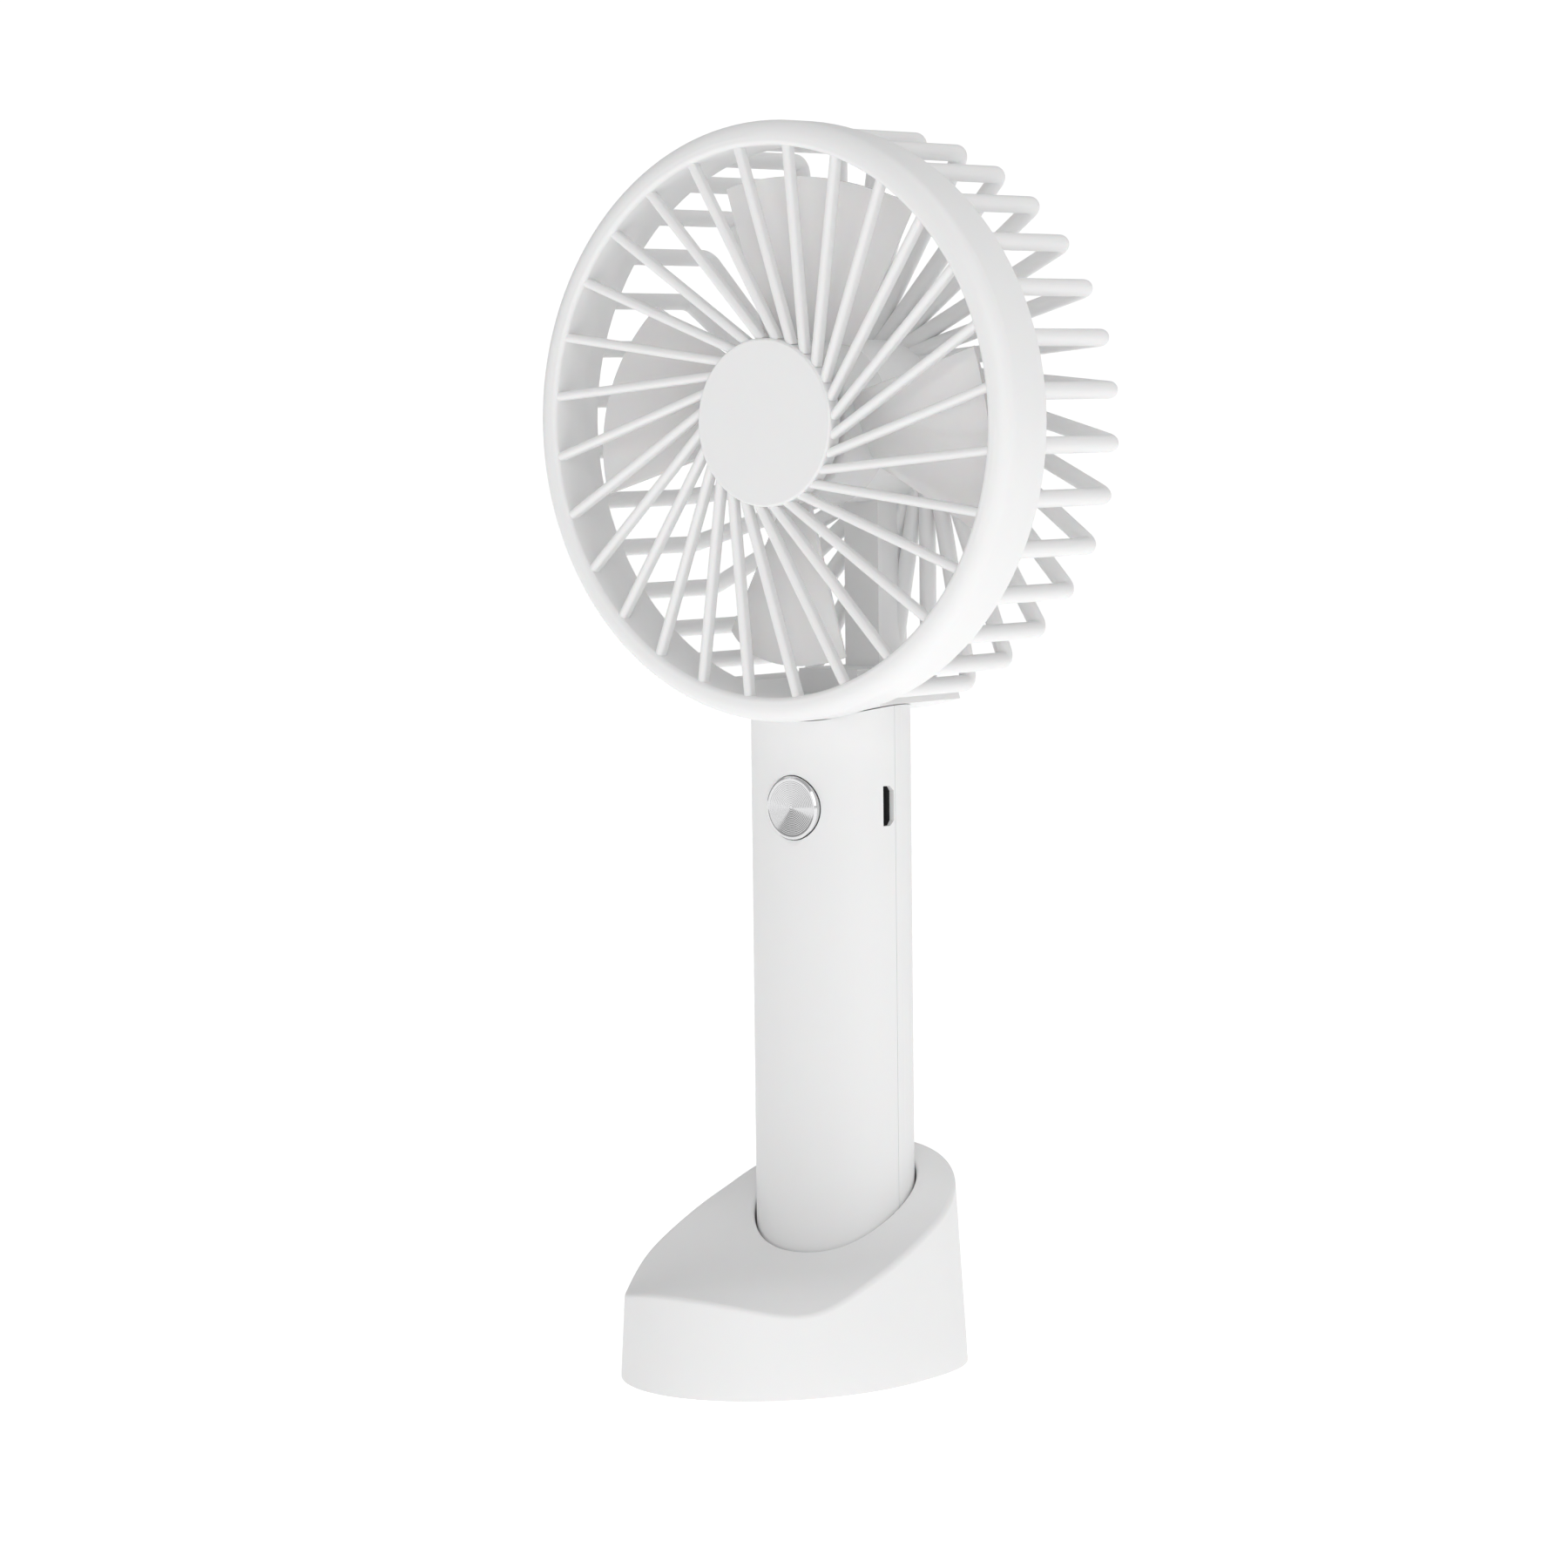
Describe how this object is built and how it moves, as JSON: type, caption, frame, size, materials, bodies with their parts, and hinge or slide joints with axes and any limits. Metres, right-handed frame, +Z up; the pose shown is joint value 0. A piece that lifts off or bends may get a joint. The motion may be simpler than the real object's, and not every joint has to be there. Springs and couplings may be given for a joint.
{
  "type": "handheld electric fan",
  "caption": "Slim handheld fan with a round caged head, oval handle with push button and charging port, standing in a low sloped dock.",
  "frame": {"origin": "on the table under the handle's axis, at the underside of the dock's foot pad", "axes": "+Z up along the handle, the fan blows towards -Y, +X is the charging port's side"},
  "size_m": [0.104, 0.0647, 0.218],
  "materials": {
    "white_shell": "satin",
    "grey_plastic": "satin",
    "dark_plastic": "satin",
    "clear_blade": "gloss",
    "button_metal": "spun",
    "steel": "satin",
    "ferrite": "matt",
    "bronze": "satin",
    "copper": "satin",
    "board_green": "gloss",
    "ceramic": "matt",
    "cell_sleeve": "satin",
    "soft_pad": "matt",
    "wire_red": "satin",
    "wire_black": "satin"
  },
  "bodies": {
    "dock": {"dock_shell": "white_shell", "dock_base_plate": "grey_plastic", "dock_screws": "steel", "non_slip_pad": "soft_pad"},
    "fan": {"front_grille": "white_shell", "rear_cage": "white_shell", "handle_front_shell": "white_shell", "handle_rear_shell": "white_shell", "handle_screws": "steel", "motor_sleeve": "grey_plastic", "motor_can": "steel", "motor_end_bell": "dark_plastic", "motor_magnets": "ferrite", "motor_front_bushing": "bronze", "motor_rear_bushing": "bronze", "motor_brushes": "copper", "motor_terminals": "copper", "switch_body": "dark_plastic", "circuit_board": "board_green", "board_screws": "steel", "controller_chips": "dark_plastic", "board_inductor": "ferrite", "board_capacitors": "ceramic", "usb_socket": "steel", "usb_tongue": "dark_plastic", "battery_cell": "cell_sleeve", "battery_tabs": "steel", "battery_pad": "soft_pad", "motor_wire_red": "wire_red", "motor_wire_black": "wire_black", "battery_wire_red": "wire_red", "battery_wire_black": "wire_black"},
    "impeller": {"impeller": "clear_blade", "motor_shaft": "steel", "rotor_core": "steel", "rotor_windings": "copper", "commutator": "copper"},
    "button": {"button_cap": "button_metal", "button_plunger": "grey_plastic", "switch_stem": "dark_plastic"}
  },
  "joints": [
    {"name": "fan_lift", "type": "slide", "parent": "dock", "child": "fan", "axis": [0, 0, 1], "range_m": [0, 0.045]},
    {"name": "impeller_spin", "type": "hinge", "parent": "fan", "child": "impeller", "pos_m": [0, 0, 0.166], "axis": [0, 1, 0], "continuous": true},
    {"name": "button_press", "type": "slide", "parent": "fan", "child": "button", "axis": [0, 1, 0], "range_m": [0, 0.0004], "stiffness_N_per_m": 3000}
  ]
}
